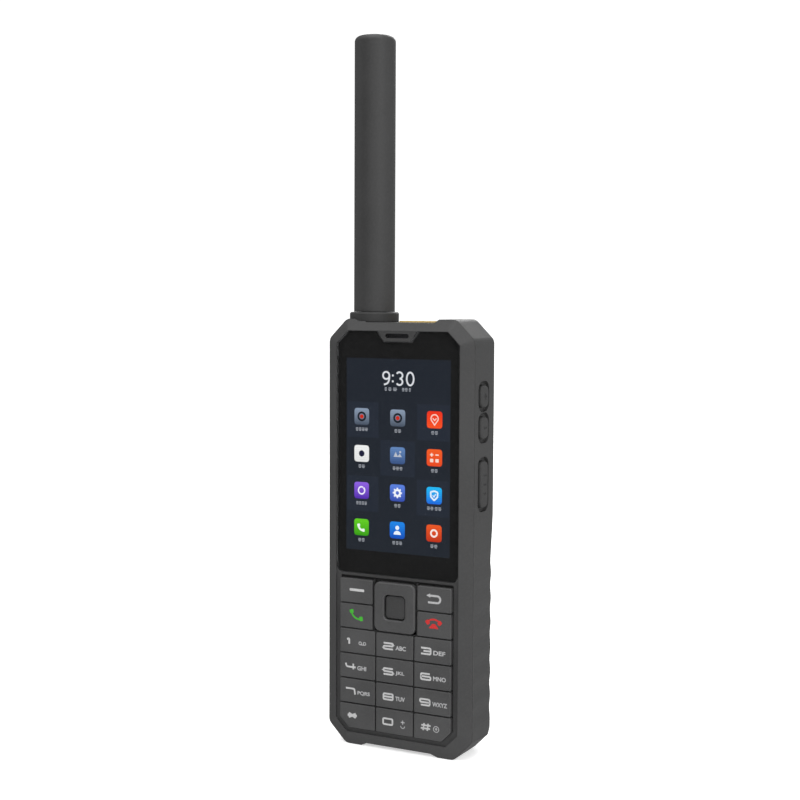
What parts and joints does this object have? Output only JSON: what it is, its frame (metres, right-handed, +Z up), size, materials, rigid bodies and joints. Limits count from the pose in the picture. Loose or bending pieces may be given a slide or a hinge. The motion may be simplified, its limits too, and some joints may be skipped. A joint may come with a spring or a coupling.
{
  "type": "satellite phone",
  "caption": "Rugged handheld satellite phone with front display, numeric keypad, side keys, rear battery and a detachable stick antenna.",
  "frame": {"origin": "centre of the base, on the plane the two feet stand on", "axes": "+Z up along the antenna, +Y from the front face to the back, +X to the user's right"},
  "size_m": [0.0627, 0.0286, 0.2732],
  "materials": {
    "case_plastic": "fine moulded grain, satin",
    "key_plastic": "fine matte texture",
    "cover_glass": "polished",
    "display_panel": "smooth",
    "antenna_plastic": "satin",
    "amber_plastic": "satin",
    "dark_rubber": "matte",
    "mat_rubber": "matte",
    "frame_alloy": "cast, bead blasted",
    "steel": "plain",
    "black_steel": "blackened",
    "circuit_board": "solder mask",
    "ceramic": "sintered ceramic",
    "gold_contact": "gold plated",
    "module_black": "moulded",
    "cell_wrap": "foil wrap",
    "lens_glass": "polished",
    "lens_clear": "frosted"
  },
  "bodies": {
    "root": {"front_cover": "case_plastic", "rear_case": "case_plastic", "case_seal": "dark_rubber", "case_screws": "black_steel", "cover_glass": "cover_glass", "display_module": "display_panel", "mid_frame": "frame_alloy", "earpiece": "module_black", "earpiece_mesh": "black_steel", "keypad_mat": "mat_rubber", "key_domes": "steel", "keypad_board": "circuit_board", "main_board": "circuit_board", "shield_cans": "steel", "satellite_module": "steel", "gps_patch": "ceramic", "sim_holder": "steel", "microphone": "steel", "battery_contacts": "gold_contact", "loudspeaker": "module_black", "rear_camera": "module_black", "camera_window": "lens_glass", "torch_lens": "lens_clear", "vibration_motor": "steel", "side_key_board": "circuit_board", "usb_socket": "steel", "port_pin": "steel", "battery_cover": "case_plastic", "battery_cell": "cell_wrap", "antenna_socket": "gold_contact", "antenna_seal": "dark_rubber"},
    "key_1": {"key_1": "key_plastic"},
    "key_2": {"key_2": "key_plastic"},
    "key_3": {"key_3": "key_plastic"},
    "key_4": {"key_4": "key_plastic"},
    "key_5": {"key_5": "key_plastic"},
    "key_6": {"key_6": "key_plastic"},
    "key_7": {"key_7": "key_plastic"},
    "key_8": {"key_8": "key_plastic"},
    "key_9": {"key_9": "key_plastic"},
    "key_star": {"key_star": "key_plastic"},
    "key_0": {"key_0": "key_plastic"},
    "key_hash": {"key_hash": "key_plastic"},
    "soft_key": {"soft_key": "key_plastic"},
    "back_key": {"back_key": "key_plastic"},
    "call_key": {"call_key": "key_plastic"},
    "end_key": {"end_key": "key_plastic"},
    "ok_key": {"ok_key": "key_plastic"},
    "nav_ring": {"nav_ring": "key_plastic"},
    "volume_up_key": {"volume_up_key": "key_plastic"},
    "volume_down_key": {"volume_down_key": "key_plastic"},
    "ptt_key": {"ptt_key": "key_plastic"},
    "sos_key": {"sos_key": "amber_plastic"},
    "port_cover": {"port_cover": "dark_rubber"},
    "battery_latch": {"battery_latch": "key_plastic"},
    "vibration_weight": {"vibration_weight": "steel"},
    "antenna": {"antenna_base": "black_steel", "antenna_tube": "antenna_plastic", "antenna_element": "gold_contact"},
    "antenna_collar": {"antenna_collar": "antenna_plastic"}
  },
  "joints": [
    {"name": "key_1_press", "type": "slide", "parent": "root", "child": "key_1", "axis": [0, 1, 0], "range_m": [0, 0.0006], "stiffness_N_per_m": 2000},
    {"name": "key_2_press", "type": "slide", "parent": "root", "child": "key_2", "axis": [0, 1, 0], "range_m": [0, 0.0006], "stiffness_N_per_m": 2000},
    {"name": "key_3_press", "type": "slide", "parent": "root", "child": "key_3", "axis": [0, 1, 0], "range_m": [0, 0.0006], "stiffness_N_per_m": 2000},
    {"name": "key_4_press", "type": "slide", "parent": "root", "child": "key_4", "axis": [0, 1, 0], "range_m": [0, 0.0006], "stiffness_N_per_m": 2000},
    {"name": "key_5_press", "type": "slide", "parent": "root", "child": "key_5", "axis": [0, 1, 0], "range_m": [0, 0.0006], "stiffness_N_per_m": 2000},
    {"name": "key_6_press", "type": "slide", "parent": "root", "child": "key_6", "axis": [0, 1, 0], "range_m": [0, 0.0006], "stiffness_N_per_m": 2000},
    {"name": "key_7_press", "type": "slide", "parent": "root", "child": "key_7", "axis": [0, 1, 0], "range_m": [0, 0.0006], "stiffness_N_per_m": 2000},
    {"name": "key_8_press", "type": "slide", "parent": "root", "child": "key_8", "axis": [0, 1, 0], "range_m": [0, 0.0006], "stiffness_N_per_m": 2000},
    {"name": "key_9_press", "type": "slide", "parent": "root", "child": "key_9", "axis": [0, 1, 0], "range_m": [0, 0.0006], "stiffness_N_per_m": 2000},
    {"name": "key_star_press", "type": "slide", "parent": "root", "child": "key_star", "axis": [0, 1, 0], "range_m": [0, 0.0006], "stiffness_N_per_m": 2000},
    {"name": "key_0_press", "type": "slide", "parent": "root", "child": "key_0", "axis": [0, 1, 0], "range_m": [0, 0.0006], "stiffness_N_per_m": 2000},
    {"name": "key_hash_press", "type": "slide", "parent": "root", "child": "key_hash", "axis": [0, 1, 0], "range_m": [0, 0.0006], "stiffness_N_per_m": 2000},
    {"name": "soft_key_press", "type": "slide", "parent": "root", "child": "soft_key", "axis": [0, 1, 0], "range_m": [0, 0.0006], "stiffness_N_per_m": 2000},
    {"name": "back_key_press", "type": "slide", "parent": "root", "child": "back_key", "axis": [0, 1, 0], "range_m": [0, 0.0006], "stiffness_N_per_m": 2000},
    {"name": "call_key_press", "type": "slide", "parent": "root", "child": "call_key", "axis": [0, 1, 0], "range_m": [0, 0.0006], "stiffness_N_per_m": 2000},
    {"name": "end_key_press", "type": "slide", "parent": "root", "child": "end_key", "axis": [0, 1, 0], "range_m": [0, 0.0006], "stiffness_N_per_m": 2000},
    {"name": "ok_key_press", "type": "slide", "parent": "root", "child": "ok_key", "axis": [0, 1, 0], "range_m": [0, 0.0006], "stiffness_N_per_m": 2000},
    {"name": "nav_ring_rock", "type": "hinge", "parent": "root", "child": "nav_ring", "pos_m": [0, -0.0115, 0.05642], "axis": [1, 0, 0], "range_deg": [-2.2, 2.2], "stiffness_Nm_per_rad": 0.4},
    {"name": "volume_up_key_press", "type": "slide", "parent": "root", "child": "volume_up_key", "axis": [-1, 0, 0], "range_m": [0, 0.0006], "stiffness_N_per_m": 2500},
    {"name": "volume_down_key_press", "type": "slide", "parent": "root", "child": "volume_down_key", "axis": [-1, 0, 0], "range_m": [0, 0.0006], "stiffness_N_per_m": 2500},
    {"name": "ptt_key_press", "type": "slide", "parent": "root", "child": "ptt_key", "axis": [-1, 0, 0], "range_m": [0, 0.0006], "stiffness_N_per_m": 2500},
    {"name": "sos_key_press", "type": "slide", "parent": "root", "child": "sos_key", "axis": [0, 0, -1], "range_m": [0, 0.0006], "stiffness_N_per_m": 2500},
    {"name": "port_cover_swing", "type": "hinge", "parent": "root", "child": "port_cover", "pos_m": [-0.0301, 0.005, 0.0504], "axis": [0, 0, -1], "range_deg": [0, 105]},
    {"name": "battery_latch_slide", "type": "slide", "parent": "root", "child": "battery_latch", "axis": [0, 0, 1], "range_m": [0, 0.0026], "stiffness_N_per_m": 700},
    {"name": "vibration_weight_spin", "type": "hinge", "parent": "root", "child": "vibration_weight", "pos_m": [-0.014, 0.00045, 0.03], "axis": [0, 0, 1], "continuous": true},
    {"name": "antenna_lift", "type": "slide", "parent": "root", "child": "antenna", "axis": [0, 0, 1], "range_m": [0, 0.003]},
    {"name": "antenna_collar_turn", "type": "hinge", "parent": "antenna", "child": "antenna_collar", "pos_m": [-0.0163, -0.0007, 0.1665], "axis": [0, 0, 1], "range_deg": [0, 1080]}
  ],
  "couplings": [
    {"joint": "antenna_collar_turn", "follows": "antenna_lift", "rad_per_m": 6283}
  ]
}
